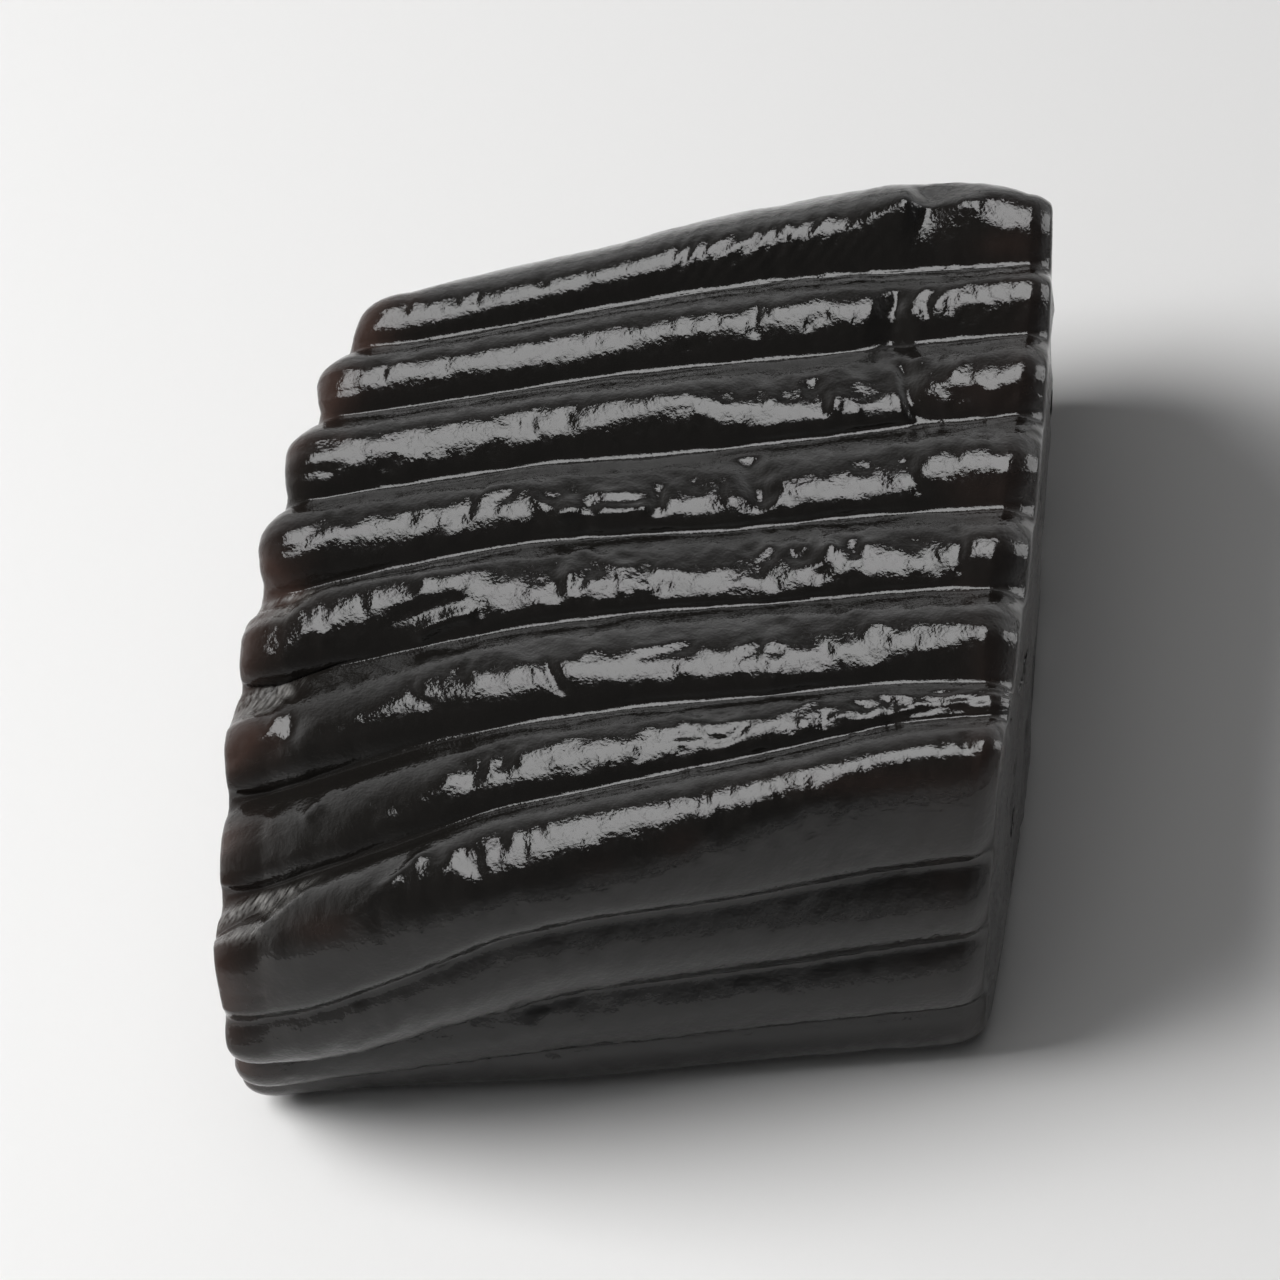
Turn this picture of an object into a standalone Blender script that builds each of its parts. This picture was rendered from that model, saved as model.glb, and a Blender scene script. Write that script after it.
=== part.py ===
"""Black licorice ripple: one chunky piece of ribbed black licorice, cut from an extruded slab.

The slab is a bundle of round strands that came out of the die side by side and fused, so its
section is scalloped all the way round: eight ribs across the top, three down each long side and
seven underneath, where the soft candy has flattened on what it rested on.  The ribs run along X.
Both ends are cut across the ribs on a slant, and the cut faces show the star-shaped gaps that
stay between round strands.  The near left corner has slumped.

Frame: origin under the middle of the piece on the plane it rests on, +Z up, ribs along X,
metres.  The sizes below are in millimetres.
"""

import math

import bmesh
import bpy
from mathutils import Vector

MM = 0.001

# ---- driving sizes, millimetres ------------------------------------------------------------
TOP_GROOVE_Z = 13.4         # height of the grooves between the top ribs, at the middle
TAPER = 0.5                 # how much higher they are at the right end, and lower at the left
BOTTOM_GROOVE_Z = 0.42      # height of the grooves between the bottom ribs
RIB_RISE = 0.185            # height of a rib over its grooves, as a share of its width
CORNER_RISE = {1: 0.235, 8: 0.22}    # the same for the ribs at the two top corners
GROOVE_SHARE = 0.11         # share of a half rib that belongs to the groove's fillet
SEGMENTS = 7                # facets across one rib

# width of each top rib at the left end, at the middle and at the right end
TOP_RIBS = {
    2: (3.1, 3.4, 3.2),
    3: (3.7, 3.9, 3.7),
    4: (3.5, 3.5, 4.1),
    5: (3.4, 3.5, 3.5),
    6: (4.1, 4.1, 4.1),
    7: (3.5, 3.2, 1.4),
}
GROOVE_4_Y = (-0.3, -0.3, -1.3)      # the groove near the middle, from which the ribs are set out

# the long sides: (Y, Z) of each groove at the left end, at the middle and at the right end
NEAR_SIDE = {
    9: ((-14.1, 4.1), (-14.3, 6.4), (-14.4, 7.0)),
    10: ((-13.4, 2.1), (-14.0, 2.9), (-14.3, 3.2)),
    11: ((-12.0, BOTTOM_GROOVE_Z), (-12.9, BOTTOM_GROOVE_Z), (-13.2, BOTTOM_GROOVE_Z)),
}
# the groove below the near top corner, at five places from the left end to the right end
NEAR_CORNER = ((-14.6, 7.0), (-15.4, 9.8), (-15.0, 10.9), (-14.1, 10.3), (-13.6, 10.2))
FAR_SIDE = {
    18: ((12.8, BOTTOM_GROOVE_Z), (14.2, BOTTOM_GROOVE_Z), (14.3, BOTTOM_GROOVE_Z)),
    19: ((14.0, 3.2), (15.6, 3.4), (15.7, 3.5)),
    20: ((14.5, 6.4), (16.3, 6.9), (16.4, 7.2)),
    21: ((13.7, 9.4), (15.4, 9.9), (15.2, 9.9)),
}
RIBS = 21

# how far each corner groove's direction keeps to the rib before it: 0.5 is halfway
TURN = {21: 0.25, 1: 0.2, 7: 0.85, 8: 0.3, 11: 0.6, 18: 0.4}
ARCH = {1: -0.7, 7: 1.8}    # the same for the two corner ribs alone, which arch up from these grooves

# cut ends: X at Y = 0, slant and bow of each cut across the piece, and its lean over the height
LEFT_CUT = (-11.45, 0.35, 0.0075, -0.09)
RIGHT_CUT = (15.2, 0.235, -0.003, 0.0)
LEFT_ROUND = (1.4, 0.7)     # length over which the rib ends round off, and how far they drop there
RIGHT_ROUND = (0.9, 0.65)
LEFT_SWELL = 0.2            # how far the left ends of the top ribs stand out past the cut, at their middles

SLUMP = 3.5                 # how far the near left corner has sunk
SLUMP_REACH = 16.0          # over how much of the width
STATIONS = 12               # sections between the rounded ends

# gaps in the cut faces: (Y, Z, radius, turn in degrees, depth)
LEFT_GAPS = (
    (-2.6, 6.6, 1.5, 12.0, 2.6),
    (5.6, 8.3, 1.0, 40.0, 1.8),
    (9.2, 4.6, 0.7, 10.0, 1.5),
    (-8.8, 4.8, 0.85, 65.0, 1.6),
)
RIGHT_GAPS = (
    (3.4, 7.3, 1.5, 30.0, 2.6),
    (-4.4, 9.0, 0.95, 5.0, 1.8),
    (-7.9, 4.6, 0.75, 50.0, 1.5),
    (10.2, 5.6, 0.85, 20.0, 1.6),
)

BLACK = (0.0095, 0.0070, 0.0058, 1.0)


# ---- the slab's form -----------------------------------------------------------------------
def through(values, t):
    """The parabola through three values at t = -1, 0 and 1."""
    a, b, c = values
    return b + t * (c - a) / 2 + t * t * ((a + c) / 2 - b)


def ease(s):
    """A smooth step from 0 at 0 to 1 at 1."""
    s = max(0.0, min(1.0, s))
    return s * s * (3 - 2 * s)


def settled(values, t):
    """As through, for the long sides: level at the middle, eased down to the left end."""
    a, b, c = values
    return b + (c - b) * t * t * (2 - t) if t > 0 else b + (a - b) * ease(-t)


def at_place(places, t):
    """(Y, Z) at t from evenly spaced places, from -1 to 1, joined by a smooth curve."""
    s = (t + 1) / 2 * (len(places) - 1)
    i = min(int(s), len(places) - 2)
    f = s - i
    p = [Vector(places[max(0, min(len(places) - 1, k))]) for k in (i - 1, i, i + 1, i + 2)]
    return (p[1] * 2 + (p[2] - p[0]) * f + (p[0] * 2 - p[1] * 5 + p[2] * 4 - p[3]) * f * f
            + (p[1] * 3 - p[0] - p[2] * 3 + p[3]) * f**3) / 2


def slump(t, y):
    """How far the top has sunk at t along the ribs and y across them."""
    return SLUMP * max(0.0, (3.0 - y) / SLUMP_REACH) ** 1.1 * max(0.0, -t) ** 2.5


def grooves(t):
    """(Y, Z) of the 21 grooves round the section at t, from -1 at the left end to 1 at the right."""
    y = {4: through(GROOVE_4_Y, t)}
    for rib in (4, 3, 2):
        y[rib - 1] = y[rib] + through(TOP_RIBS[rib], t)
    for rib in (5, 6, 7):
        y[rib] = y[rib - 1] - through(TOP_RIBS[rib], t)
    points = {k: Vector((v, TOP_GROOVE_Z + TAPER * t - slump(t, v))) for k, v in y.items()}
    for k, places in {**NEAR_SIDE, **FAR_SIDE}.items():
        points[k] = Vector(settled([p[axis] for p in places], t) for axis in (0, 1))
    points[8] = at_place(NEAR_CORNER, t)
    near, far = points[11], points[18]
    for k in range(12, 18):
        points[k] = near.lerp(far, (k - 11) / 7)
    return [points[k if k else RIBS] for k in range(RIBS)]


def scallop(u):
    """Height of a rib over its base at u across it, 0 in the grooves and 1 on the crest."""
    s, edge = abs(2 * u - 1), 1 - GROOVE_SHARE
    return 1 - s * s / edge if s < edge else (1 - s) ** 2 / (1 - edge)


def section(t, inset):
    """The scalloped outline at t as a list of (Y, Z), set in by inset."""
    nodes = grooves(t)
    steps = [(nodes[(k + 1) % RIBS] - nodes[k]) for k in range(RIBS)]

    def tangent(k, table):
        before, after = steps[k - 1].normalized(), steps[k % RIBS].normalized()
        keep = table.get(k if k else RIBS, 0.5)
        return (before * keep + after * (1 - keep)).normalized()

    outline = []
    for k in range(RIBS):
        a, b, width = nodes[k], nodes[(k + 1) % RIBS], steps[k].length
        ta = tangent(k, ARCH if k == 7 else TURN) * width
        tb = tangent((k + 1) % RIBS, ARCH if k == 0 else TURN) * width
        for i in range(SEGMENTS):
            v = i / SEGMENTS
            u = v - math.sin(4 * math.pi * v) / (4 * math.pi) * 0.55   # closer together at grooves
            h00, h10 = 2 * u**3 - 3 * u * u + 1, u**3 - 2 * u * u + u
            h01, h11 = 3 * u * u - 2 * u**3, u**3 - u * u
            base = a * h00 + ta * h10 + b * h01 + tb * h11
            d = (a * (6 * u * u - 6 * u) + ta * (3 * u * u - 4 * u + 1)
                 + b * (6 * u - 6 * u * u) + tb * (3 * u * u - 2 * u))
            d.normalize()
            out = Vector((d.y, -d.x))
            p = base + out * (CORNER_RISE.get(k + 1, RIB_RISE) * width * scallop(u) - inset)
            outline.append((p.x, max(p.y, inset * 0.6)))
    return outline


def cut(face, y, z):
    at, slant, bow, lean = face
    return at + slant * y + bow * y * y + lean * (z - 7.0)


def stations():
    """(t, inset, place) of each section; place gives X from Y and Z."""
    rows = []
    for a in (0.0, 22.0, 55.0):
        rows.append((-1.0, LEFT_ROUND[1] * (1 - math.cos(math.radians(90 - a))),
                     lambda y, z, e=LEFT_ROUND[0] * (1 - math.cos(math.radians(a))): cut(LEFT_CUT, y, z) + e))
    for i in range(STATIONS):
        f = i / (STATIONS - 1)
        rows.append((2 * f - 1, 0.0,
                     lambda y, z, f=f: (cut(LEFT_CUT, y, z) + LEFT_ROUND[0]) * (1 - f)
                     + (cut(RIGHT_CUT, y, z) - RIGHT_ROUND[0]) * f))
    for a in (55.0, 22.0, 0.0):
        rows.append((1.0, RIGHT_ROUND[1] * (1 - math.cos(math.radians(90 - a))),
                     lambda y, z, e=RIGHT_ROUND[0] * (1 - math.cos(math.radians(a))): cut(RIGHT_CUT, y, z) - e))
    return rows


def slab():
    """The whole piece without its gaps, as a closed bmesh in millimetres."""
    bm = bmesh.new()
    rings = []
    for t, inset, place in stations():
        ring = []
        for i, (y, z) in enumerate(section(t, inset)):
            swell = LEFT_SWELL * scallop(i % SEGMENTS / SEGMENTS) if len(rings) < 3 and i < 8 * SEGMENTS else 0.0
            ring.append(bm.verts.new((place(y, z) - swell, y, z)))
        rings.append(ring)

    def cap(ring, face):
        """Carries a cut face in from its rim in two rings, then closes the middle."""
        for share in (0.7, 0.35):
            inner = []
            for v in ring[0]:
                y, z = v.co.y, v.co.z
                my, mz = max(-10.0, min(10.0, y)), 6.2
                y, z = my + (y - my) * share, mz + (z - mz) * share
                inner.append(bm.verts.new((cut(face, y, z), y, z)))
            join(ring[0], inner, ring[1])
            ring = (inner, ring[1])
        middle = bm.faces.new(ring[0] if ring[1] else list(reversed(ring[0])))
        kept = [middle]
        for y in range(-9, 10, 3):      # in strips, so that they follow the bow of the cut
            geom = kept + list({e for f in kept for e in f.edges}) + list({v for f in kept for v in f.verts})
            done = bmesh.ops.bisect_plane(bm, geom=geom, dist=1e-4, plane_co=(0, y, 0), plane_no=(0, 1, 0))
            kept = [g for g in done["geom"] if isinstance(g, bmesh.types.BMFace)]

    def join(a, b, flip):
        n = len(a)
        for i in range(n):
            quad = (a[i], a[(i + 1) % n], b[(i + 1) % n], b[i])
            bm.faces.new(tuple(reversed(quad)) if flip else quad)

    for a, b in zip(rings, rings[1:]):
        join(a, b, False)
    cap((rings[-1], False), RIGHT_CUT)
    cap((rings[0], True), LEFT_CUT)
    bmesh.ops.triangulate(bm, faces=[f for f in bm.faces if len(f.verts) > 4])
    bm.normal_update()
    bmesh.ops.recalc_face_normals(bm, faces=bm.faces[:])
    return bm


def to_mesh(bm, name, shift):
    for v in bm.verts:
        v.co = (v.co + shift) * MM
    mesh = bpy.data.meshes.new(name)
    bm.to_mesh(mesh)
    bm.free()
    return mesh


def star(y, z, radius, turn, depth, face, outward, shift, name):
    """A four-pointed prism that cuts one gap between strands into a cut face."""
    bm = bmesh.new()
    bmesh.ops.create_cone(bm, cap_ends=True, segments=16, radius1=radius, radius2=radius,
                          depth=depth * 2)
    for v in bm.verts:
        a = math.atan2(v.co.y, v.co.x)
        pinch = 0.40 + 0.60 * abs(math.cos(2 * a)) ** 1.9
        taper = 1.0 if v.co.z > 0 else 0.55
        r = radius * pinch * taper
        a += math.radians(turn)
        v.co = Vector((outward * v.co.z + cut(face, y, z), y + r * math.cos(a), z + r * math.sin(a)))
    bm.normal_update()
    bmesh.ops.recalc_face_normals(bm, faces=bm.faces[:])
    cutter = bpy.data.objects.new(name, to_mesh(bm, name, shift))
    cutter.display_type = "WIRE"
    cutter.hide_render = True
    return cutter


def main():
    for o in list(bpy.data.objects):
        bpy.data.objects.remove(o, do_unlink=True)

    scene = bpy.context.scene
    parts = bpy.data.collections.new("black_licorice_ripple")
    cutters = bpy.data.collections.new("cutters")
    scene.collection.children.link(parts)
    scene.collection.children.link(cutters)

    bm = slab()
    low = Vector(min(v.co[i] for v in bm.verts) for i in range(3))
    high = Vector(max(v.co[i] for v in bm.verts) for i in range(3))
    shift = Vector((-round((low.x + high.x) / 2, 1), -round((low.y + high.y) / 2, 1), -low.z))

    piece = bpy.data.objects.new("licorice_piece", to_mesh(bm, "licorice_piece", shift))
    parts.objects.link(piece)

    for face, outward, gaps, side in ((LEFT_CUT, -1, LEFT_GAPS, "left"), (RIGHT_CUT, 1, RIGHT_GAPS, "right")):
        for i, (y, z, radius, turn, depth) in enumerate(gaps):
            cutter = star(y, z, radius, turn, depth, face, outward, shift, f"{side}_gap_{i + 1}")
            cutters.objects.link(cutter)
            gap = piece.modifiers.new(f"{side}_gap_{i + 1}", "BOOLEAN")
            gap.operation = "DIFFERENCE"
            gap.solver = "EXACT"
            gap.object = cutter

    licorice = bpy.data.materials.new("black_licorice")
    licorice.use_nodes = True
    shader = licorice.node_tree.nodes["Principled BSDF"]
    shader.inputs["Base Color"].default_value = BLACK
    shader.inputs["Roughness"].default_value = 0.2
    shader.inputs["Metallic"].default_value = 0.0
    shader.inputs["IOR"].default_value = 1.47
    piece.data.materials.append(licorice)
    piece.data.shade_smooth()
    piece.data.set_sharp_from_angle(angle=math.radians(50))


main()
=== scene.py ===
"""The looks of the black licorice ripple: the ribbed piece with its dents, creases, streaks and cut faces."""

import math

import bmesh
import bpy
import numpy as np
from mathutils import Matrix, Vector
from mathutils.geometry import delaunay_2d_cdt


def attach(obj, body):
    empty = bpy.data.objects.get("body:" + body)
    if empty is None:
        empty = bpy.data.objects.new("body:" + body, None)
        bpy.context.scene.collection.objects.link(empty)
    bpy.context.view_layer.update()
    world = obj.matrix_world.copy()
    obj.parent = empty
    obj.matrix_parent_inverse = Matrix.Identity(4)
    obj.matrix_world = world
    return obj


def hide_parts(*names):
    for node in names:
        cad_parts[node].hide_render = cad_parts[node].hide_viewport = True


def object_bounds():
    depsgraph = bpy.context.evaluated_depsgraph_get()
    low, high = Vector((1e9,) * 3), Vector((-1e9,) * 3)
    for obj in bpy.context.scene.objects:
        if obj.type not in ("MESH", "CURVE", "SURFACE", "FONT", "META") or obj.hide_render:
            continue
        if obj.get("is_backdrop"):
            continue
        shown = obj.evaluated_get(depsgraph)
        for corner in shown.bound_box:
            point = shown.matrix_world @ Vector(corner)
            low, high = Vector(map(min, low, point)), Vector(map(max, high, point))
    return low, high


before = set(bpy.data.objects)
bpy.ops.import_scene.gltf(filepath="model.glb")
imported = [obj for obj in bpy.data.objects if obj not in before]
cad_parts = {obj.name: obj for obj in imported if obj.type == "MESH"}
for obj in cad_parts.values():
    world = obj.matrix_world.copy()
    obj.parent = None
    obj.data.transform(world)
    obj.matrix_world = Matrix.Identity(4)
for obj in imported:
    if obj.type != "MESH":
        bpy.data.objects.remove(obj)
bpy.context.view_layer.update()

MM = 0.001

# ---- camera: the photograph's viewing angle ---------------------------------------------------
AZIMUTH, ELEVATION, DISTANCE = math.radians(-8.0), math.radians(50.0), 0.400
BACK = Vector((math.sin(AZIMUTH) * math.cos(ELEVATION), -math.cos(AZIMUTH) * math.cos(ELEVATION), math.sin(ELEVATION)))
RIGHT = Vector((math.cos(AZIMUTH), math.sin(AZIMUTH), 0.0))
UP = BACK.cross(RIGHT)
SHIFT = (-1.5, -0.5, 0.0)                # puts the origin under the middle of the CAD box, millimetres
VIEWED = (-1.4162, -1.0374, 0.0)         # the shift with which the photograph's view was fitted
AIM = Vector((SHIFT[0] - VIEWED[0], SHIFT[1] - VIEWED[1], 7.0)) * MM - UP * 0.00055
FIELD = 0.0446              # width of the view at the aim point

cam = bpy.data.cameras.new("camera")
cam.sensor_width = 36.0
cam.lens = 36.0 * DISTANCE / FIELD
cam.clip_start, cam.clip_end = 0.01, 20.0
camera = bpy.data.objects.new("camera", cam)
bpy.context.scene.collection.objects.link(camera)
camera.location = AIM + BACK * DISTANCE
camera.rotation_mode = "QUATERNION"
camera.rotation_quaternion = BACK.to_track_quat("Z", "Y")
bpy.context.scene.camera = camera

# ---- the slab's form, in millimetres: the CAD model's, with each rib's own section -------------
TOP_GROOVE_Z, TAPER, BOTTOM_GROOVE_Z = 13.4, 0.5, 0.42
RIB_RISE, GROOVE_SHARE = 0.185, 0.11
NEAR_SIDE = {
    9: ((-14.1, 4.1), (-14.3, 6.4), (-14.4, 7.0)),
    10: ((-13.4, 2.1), (-14.0, 2.9), (-14.3, 3.2)),
    11: ((-12.0, BOTTOM_GROOVE_Z), (-12.9, BOTTOM_GROOVE_Z), (-13.2, BOTTOM_GROOVE_Z)),
}
FAR_SIDE = {
    18: ((12.8, BOTTOM_GROOVE_Z), (14.2, BOTTOM_GROOVE_Z), (14.3, BOTTOM_GROOVE_Z)),
    19: ((14.0, 3.2), (15.6, 3.4), (15.7, 3.5)),
    20: ((14.5, 6.4), (16.3, 6.9), (16.4, 7.2)),
    21: ((13.7, 9.4), (15.4, 9.9), (15.2, 9.9)),
}
RIBS = 21
TURN = {21: 0.25, 8: 0.3, 11: 0.6, 18: 0.4}
LEFT_CUT = (-11.45, 0.35, 0.0075, -0.09)
RIGHT_CUT = (15.2, 0.235, -0.003, 0.0)
LEFT_TURN = 1.5                             # the left ends are rounded over this length
LEFT_DROPS = ((0, 0.8), (4, 0.8), (5, 0.5), (6, 0.35), (7.6, 0.3), (9, 0.8), (21, 0.8))      # and drop this far, by place round the section
RIGHT_TURNS = ((0, 0.8), (1, 0.85), (1.5, 0.75), (2.5, 0.95), (3.5, 1.15), (4.5, 1.4), (5.5, 1.4), (6.3, 0.9), (7, 0.7), (8, 0.8),
               (18, 0.8), (21, 0.8))        # how far in from the right cut the skin starts to turn down, by place round the section
RIGHT_DROP = 0.70                           # and how far it drops, as a share of that
BULGE = {1: 0.10, 2: 0.50, 3: 0.50, 4: 0.42, 5: 0.20, 6: 0.24, 7: 0.08, 8: 0.18}      # how far a rib's left end stands out past the even cut
SLUMP, SLUMP_REACH = 3.5, 16.0
PITCH = 3.6

# Where each groove runs, as the photograph shows it (its pixels): 0 is the outline above rib 1.
COURSES = {
    0: ((125, 601), (136, 597.5), (150, 592), (170, 587), (190, 582.5), (210, 578.5), (230, 574), (250, 568),
        (270, 563), (290, 559.5), (310, 556), (330, 552.5), (350, 550), (370, 549), (390, 549.5), (402, 550.5), (411, 553.5),
        (420, 560.5)),
    1: ((125, 620), (150, 618.5), (170, 615), (190, 611.5), (230, 604), (270, 597), (310, 591.5), (350, 588.5),
        (390, 586.5), (417, 584.5)),
    2: ((111, 651), (150, 645.5), (190, 639.5), (230, 633), (270, 628.5), (310, 625), (345, 621.5), (370, 618), (412, 614.5)),
    3: ((98, 687.5), (130, 681.5), (170, 675.5), (210, 669.5), (250, 667), (290, 663), (330, 658.5), (370, 653), (412, 648.5)),
    4: ((87, 729), (110, 722), (150, 713), (190, 705), (210, 702.5), (250, 700), (280, 699), (320, 694.5), (360, 691), (408, 688.5)),
    5: ((78, 768), (120, 757), (160, 747), (200, 739), (250, 733), (310, 729), (350, 725), (380, 723), (400, 723), (412, 726)),
    6: ((75, 815), (100, 808), (140, 795), (160, 788.5), (200, 780), (250, 773), (300, 769), (340, 764.5), (360, 763), (408, 763)),
    7: ((74, 854), (90, 851), (110, 844), (150, 830), (185, 817), (220, 810), (250, 803.5), (300, 793.5), (340, 784),
        (360, 779.5), (393, 777)),
    8: ((68, 906), (90, 907), (110, 903), (150, 889), (190, 873.5), (230, 865), (290, 857), (350, 846), (394, 840)),
}
# The crown of each top rib: (pixel column, share of the way across where it starts to face the
# camera's side, share where it has turned 22 degrees).
CROWNS = {
    2: ((110, 0.42, 0.62), (140, 0.40, 0.64), (160, 0.36, 0.64), (200, 0.35, 0.66), (240, 0.37, 0.69), (262, 0.37, 0.62),
        (300, 0.38, 0.61), (320, 0.33, 0.57), (345, 0.30, 0.66), (375, 0.33, 0.60), (395, 0.25, 0.52), (415, 0.30, 0.50)),
    3: ((100, 0.46, 0.60), (125, 0.35, 0.65), (160, 0.34, 0.67), (220, 0.34, 0.66), (245, 0.34, 0.57), (260, 0.33, 0.51),
        (272, 0.34, 0.46), (280, 0.37, 0.52), (290, 0.45, 0.63), (302, 0.51, 0.72), (315, 0.54, 0.79), (330, 0.46, 0.71),
        (342, 0.56, 0.77), (354, 0.62, 0.83), (370, 0.48, 0.72), (385, 0.37, 0.63), (415, 0.38, 0.60)),
    4: ((85, 0.36, 0.50), (120, 0.36, 0.55), (150, 0.35, 0.66), (190, 0.37, 0.68), (206, 0.38, 0.68), (218, 0.50, 0.66),
        (240, 0.58, 0.70), (252, 0.60, 0.71), (264, 0.58, 0.78), (280, 0.46, 0.85), (300, 0.50, 0.75), (320, 0.50, 0.73),
        (350, 0.50, 0.78), (362, 0.48, 0.76), (372, 0.38, 0.61), (390, 0.36, 0.54), (410, 0.42, 0.60)),
    5: ((78, 0.5, 0.7), (105, 0.40, 0.62), (118, 0.28, 0.55), (145, 0.21, 0.48), (160, 0.22, 0.44), (176, 0.24, 0.46),
        (188, 0.26, 0.76), (202, 0.40, 0.77), (225, 0.45, 0.73), (255, 0.48, 0.78), (285, 0.55, 0.80), (300, 0.52, 0.88),
        (312, 0.49, 0.84), (326, 0.42, 0.74), (345, 0.42, 0.69), (362, 0.49, 0.79), (380, 0.36, 0.84), (388, 0.40, 0.61),
        (410, 0.38, 0.58)),
    6: ((75, 0.45, 0.62), (140, 0.46, 0.58), (160, 0.37, 0.60), (178, 0.33, 0.58), (192, 0.40, 0.67), (205, 0.40, 0.69),
        (216, 0.38, 0.62), (245, 0.44, 0.69), (265, 0.48, 0.73), (300, 0.52, 0.74), (325, 0.52, 0.75), (342, 0.40, 0.74),
        (370, 0.40, 0.62), (390, 0.38, 0.54), (408, 0.40, 0.55)),
    7: ((75, 0.4, 0.62), (165, 0.42, 0.66), (200, 0.34, 0.70), (240, 0.34, 0.72), (262, 0.33, 0.74), (290, 0.43, 0.68),
        (310, 0.40, 0.66), (345, 0.50, 0.77), (358, 0.46, 0.84), (375, 0.42, 0.90), (400, 0.45, 0.85)),
}
# Rib 1: pixels from its near groove up to where it has turned 22 degrees and to its level line.
RIB_1 = ((125, 7.8, 18.0), (150, 7.8, 17.5), (185, 10.2, 17.0), (220, 11.2, 18.0), (250, 13.2, 20.0), (300, 15.8, 22.5),
         (338, 20.5, 26.5), (350, 27.0, 29.0), (357, 29.4, 29.9), (386, 29.4, 29.9), (391, 24.0, 31.0), (395, 19.0, 31.0),
         (404, 16.0, 29.5), (420, 12.0, 23.0))
# Rib 8: shares where it is level, where it has turned 22 degrees, and where it stands at 66.
RIB_8 = ((68, 0.16, 0.36, 0.60), (120, 0.20, 0.32, 0.60), (148, 0.25, 0.28, 0.64), (168, 0.25, 0.28, 0.69), (176, 0.21, 0.44, 0.72), (210, 0.20, 0.42, 0.77), (250, 0.20, 0.37, 0.73),
         (280, 0.20, 0.33, 0.63), (320, 0.19, 0.30, 0.54), (360, 0.18, 0.25, 0.51), (395, 0.17, 0.23, 0.50))
FAR_WALL, NEAR_WALL = 37.0, 42.0        # how steep a rib's two flanks are when it is even
BACK_A, UP_A, RIGHT_A = (np.array(v) for v in (BACK, UP, RIGHT))


def ease(s):
    s = np.clip(s, 0.0, 1.0)
    return s * s * (3 - 2 * s)


def settled(values, t):
    a, b, c = values
    return np.where(t > 0, b + (c - b) * t * t * (2 - t), b + (a - b) * ease(-t))


def top_height(t, y):
    """Height of the top grooves: the slab sinks towards its left near corner."""
    reach = SLUMP * np.maximum(0.0, (3.0 - y) / SLUMP_REACH) ** 1.1
    return TOP_GROOVE_Z + TAPER * t - reach * np.maximum(-t, 0.0) ** 2.5


def scallop(u):
    s, edge = np.abs(2 * u - 1), 1 - GROOVE_SHARE
    return np.where(s < edge, 1 - s * s / edge, (1 - s) ** 2 / (1 - edge))


def unit(v):
    return v / np.maximum(np.linalg.norm(v, axis=-1, keepdims=True), 1e-9)


def cut(face, y, z):
    at, slant, bow, lean = face
    return at + slant * y + bow * y * y + lean * (z - 7.0)


def seen(x, y, z):
    """The photograph's pixel that shows a place on the slab (millimetres, before the shift)."""
    q = np.stack([x, y, z], axis=-1) + VIEWED - np.array([0.0, 0.0, 7.0])
    scale = 12.2 * 400.0 / (400.0 - q @ BACK_A)
    return 247.0 + scale * (q @ RIGHT_A), 738.2 - scale * (q @ UP_A), scale


def follow(table, column, at):
    """A column of a table of stations, at pixel columns `at`; straight on beyond its ends."""
    p = np.array(table, float)
    x, v = p[:, 0], p[:, column]
    out = np.interp(at, x, v)
    out = np.where(at < x[0], v[0] + (v[1] - v[0]) / (x[1] - x[0]) * np.maximum(at - x[0], -12), out)
    return np.where(at > x[-1], v[-1] + (v[-1] - v[-2]) / (x[-1] - x[-2]) * np.minimum(at - x[-1], 12), out)


def smooth(values, rows_wide):
    """Rounds off a quantity along the rows of the middle stretch; the end rows keep its end values."""
    n = int(rows_wide * 3) + 1
    kernel = np.exp(-0.5 * (np.arange(-n, n + 1) / rows_wide) ** 2)
    kernel /= kernel.sum()
    middle = values[FIRST:LAST + 1]
    padded = np.concatenate([2 * middle[0] - middle[n:0:-1], middle, 2 * middle[-1] - middle[-2:-n - 2:-1]])
    out = values.copy()
    out[FIRST:LAST + 1] = np.convolve(padded, kernel, mode="valid")
    out[:FIRST], out[LAST + 1:] = out[FIRST], out[LAST]
    return out


# ---- smooth random fields ------------------------------------------------------------------
def field(a, b, cell_a, cell_b, seed):
    """A smooth random field of about unit spread over (a, b), with features of the given sizes."""
    table = np.random.default_rng(seed).standard_normal((128, 128))
    p, q = a / cell_a, b / cell_b
    i, j = np.floor(p).astype(int), np.floor(q).astype(int)
    p, q = p - i, q - j

    def weights(s):
        return ((1 - s) ** 3 / 6, (3 * s**3 - 6 * s * s + 4) / 6, (-3 * s**3 + 3 * s * s + 3 * s + 1) / 6, s**3 / 6)

    total = 0.0
    for m, wp in enumerate(weights(p)):
        for n, wq in enumerate(weights(q)):
            total = total + wp * wq * table[(i + m) % 128, (j + n) % 128]
    return total * 1.9


def near(v, half):
    """A smooth bump of v: 1 at 0 and nothing past twice the half width."""
    return np.exp(-0.7 * (v / half) ** 2)


# ---- the mesh ------------------------------------------------------------------------------
def rib_samples(rib):
    if rib in (1, 8):
        return 44
    if rib < 8:
        return 36
    if rib <= 11:
        return 20
    return 12 if rib >= 19 else 6


def spread(rib):
    """Shares across a rib at which it is sampled: closer together at its grooves."""
    n = rib_samples(rib)
    v = np.arange(n) / n
    if rib == 1:
        v = 1 - (1 - v) ** 1.35
    return v - np.sin(2 * np.pi * v) / (2 * np.pi) * 0.5


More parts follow.
